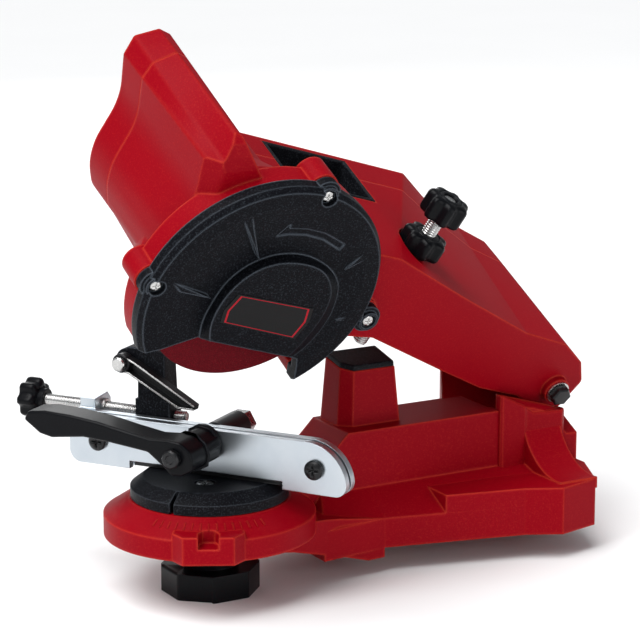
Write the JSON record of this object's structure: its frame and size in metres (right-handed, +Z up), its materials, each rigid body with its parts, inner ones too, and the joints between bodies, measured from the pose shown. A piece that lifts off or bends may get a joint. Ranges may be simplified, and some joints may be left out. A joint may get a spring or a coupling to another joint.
{
  "type": "electric chainsaw sharpener",
  "caption": "Bench-mounted electric saw-chain sharpener: tilting red grinding arm with guarded wheel over a swivelling chain vise on a moulded base.",
  "frame": {"origin": "on the swivel axis of the chain vise at the level of the bench top", "axes": "+Z up, +X to the rear towards the pivot of the arm, operator on the -Y side"},
  "size_m": [0.3029, 0.1884, 0.2824],
  "materials": {
    "red_plastic": "fine moulded grain",
    "black_plastic": "fine moulded grain",
    "zinc_steel": "pale zinc plate",
    "bright_zinc": "bright zinc",
    "black_steel": "black oxide",
    "wheel_abrasive": "resin-bonded abrasive",
    "brass": "turned",
    "motor_steel": "plain steel",
    "magnet": "ferrite",
    "copper": "copper",
    "rubber": "soft",
    "label": "printed blank with a thin red border",
    "board": "circuit board"
  },
  "bodies": {
    "base": {"base_shell": "red_plastic", "stop_pad": "rubber", "mount_inserts": "brass", "spindle_bush": "brass", "pivot_bolt": "black_steel", "pivot_washers": "bright_zinc", "pivot_nut": "bright_zinc", "pivot_bushes": "brass", "return_spring": "motor_steel"},
    "turntable": {"turntable_disc": "black_plastic", "turntable_screw": "bright_zinc", "turntable_bolt": "bright_zinc", "lock_washer": "bright_zinc", "jaw_carrier": "black_steel", "jaw_fixed": "zinc_steel", "guide_screws": "black_steel", "guide_nuts": "bright_zinc", "jaw_springs": "motor_steel", "clamp_spindle": "bright_zinc", "clamp_nut": "bright_zinc"},
    "moving_jaw": {"jaw_moving": "zinc_steel"},
    "lever": {"clamp_lever": "black_plastic", "lever_cap": "black_steel"},
    "lock_knob": {"lock_knob": "black_plastic"},
    "adjuster": {"adjuster_screw": "bright_zinc", "adjuster_knob": "black_plastic"},
    "slider": {"stop_slider": "black_plastic", "pawl_pin": "bright_zinc"},
    "pawl": {"stop_pawl": "bright_zinc"},
    "arm": {"arm_housing": "red_plastic", "arm_cover": "red_plastic", "cover_screws": "bright_zinc", "wheel_guard": "black_plastic", "guard_screws": "bright_zinc", "label_plate": "label", "recess_tray": "black_plastic", "switch_body": "black_plastic", "motor_can": "motor_steel", "motor_magnets": "magnet", "motor_end_cap": "black_plastic", "brush_holders": "brass", "circuit_board": "board", "cable_gland": "rubber", "bearing_front": "motor_steel", "bearing_rear": "motor_steel", "depth_nut_insert": "brass"},
    "rocker": {"switch_rocker": "red_plastic"},
    "spindle": {"motor_shaft": "motor_steel", "armature": "copper", "commutator": "copper", "inner_flange": "motor_steel", "outer_flange": "motor_steel", "grinding_wheel": "wheel_abrasive", "spindle_nut": "bright_zinc"},
    "depth_rod": {"depth_screw": "bright_zinc"},
    "depth_knob": {"depth_knob": "black_plastic"},
    "lock_nut": {"lock_nut": "black_plastic"}
  },
  "joints": [
    {"name": "arm_swing", "type": "hinge", "parent": "base", "child": "arm", "pos_m": [0.206, 0.04103, 0.08529], "axis": [0, 0.891, 0.454], "range_deg": [-5.6, 0], "stiffness_Nm_per_rad": 8, "springref_deg": 51.57},
    {"name": "turntable_swivel", "type": "hinge", "parent": "base", "child": "turntable", "pos_m": [0, 0, 0.036], "axis": [0, 0, 1], "range_deg": [-70, 0]},
    {"name": "lock_knob_turn", "type": "hinge", "parent": "turntable", "child": "lock_knob", "pos_m": [0, 0, 0], "axis": [0, 0, 1], "range_deg": [0, 180]},
    {"name": "clamp_lever_turn", "type": "hinge", "parent": "turntable", "child": "lever", "pos_m": [-0.0161, -0.01188, 0.0638], "axis": [-0.8192, -0.5736, 0], "range_deg": [0, 35.2]},
    {"name": "jaw_close", "type": "slide", "parent": "turntable", "child": "moving_jaw", "axis": [0.8192, 0.5736, 0], "range_m": [0, 0.0007]},
    {"name": "adjuster_turn", "type": "hinge", "parent": "turntable", "child": "adjuster", "pos_m": [-0.04015, 0.08175, 0.0695], "axis": [0.5736, -0.8192, 0], "range_deg": [-2161, 2161]},
    {"name": "stop_slide", "type": "slide", "parent": "turntable", "child": "slider", "axis": [0.5736, -0.8192, 0], "range_m": [-0.006, 0.006]},
    {"name": "pawl_lift", "type": "hinge", "parent": "slider", "child": "pawl", "pos_m": [-0.02622, 0.04268, 0.097], "axis": [-0.8192, -0.5736, 0], "range_deg": [0, 18]},
    {"name": "rocker_tip", "type": "hinge", "parent": "arm", "child": "rocker", "pos_m": [0.06213, 0.01953, 0.18145], "axis": [0, -0.891, -0.454], "range_deg": [0, 8]},
    {"name": "spindle_spin", "type": "hinge", "parent": "arm", "child": "spindle", "pos_m": [0.003, -0.04086, 0.15019], "axis": [0, -0.891, -0.454], "continuous": true},
    {"name": "depth_knob_turn", "type": "hinge", "parent": "depth_rod", "child": "depth_knob", "pos_m": [0.11445, -0.0323, 0.17304], "axis": [0.3223, -0.4298, 0.8435], "range_deg": [0, 2305]},
    {"name": "depth_slide", "type": "slide", "parent": "arm", "child": "depth_rod", "axis": [0.3223, -0.4298, 0.8435], "range_m": [0, 0.008]},
    {"name": "lock_nut_turn", "type": "hinge", "parent": "arm", "child": "lock_nut", "pos_m": [0.108, -0.0237, 0.15617], "axis": [0.3223, -0.4298, 0.8435], "range_deg": [0, 90]}
  ],
  "couplings": [
    {"joint": "clamp_lever_turn", "follows": "jaw_close", "rad_per_m": 877},
    {"joint": "adjuster_turn", "follows": "stop_slide", "rad_per_m": 6283.2},
    {"joint": "depth_knob_turn", "follows": "depth_slide", "rad_per_m": 5026.5}
  ]
}
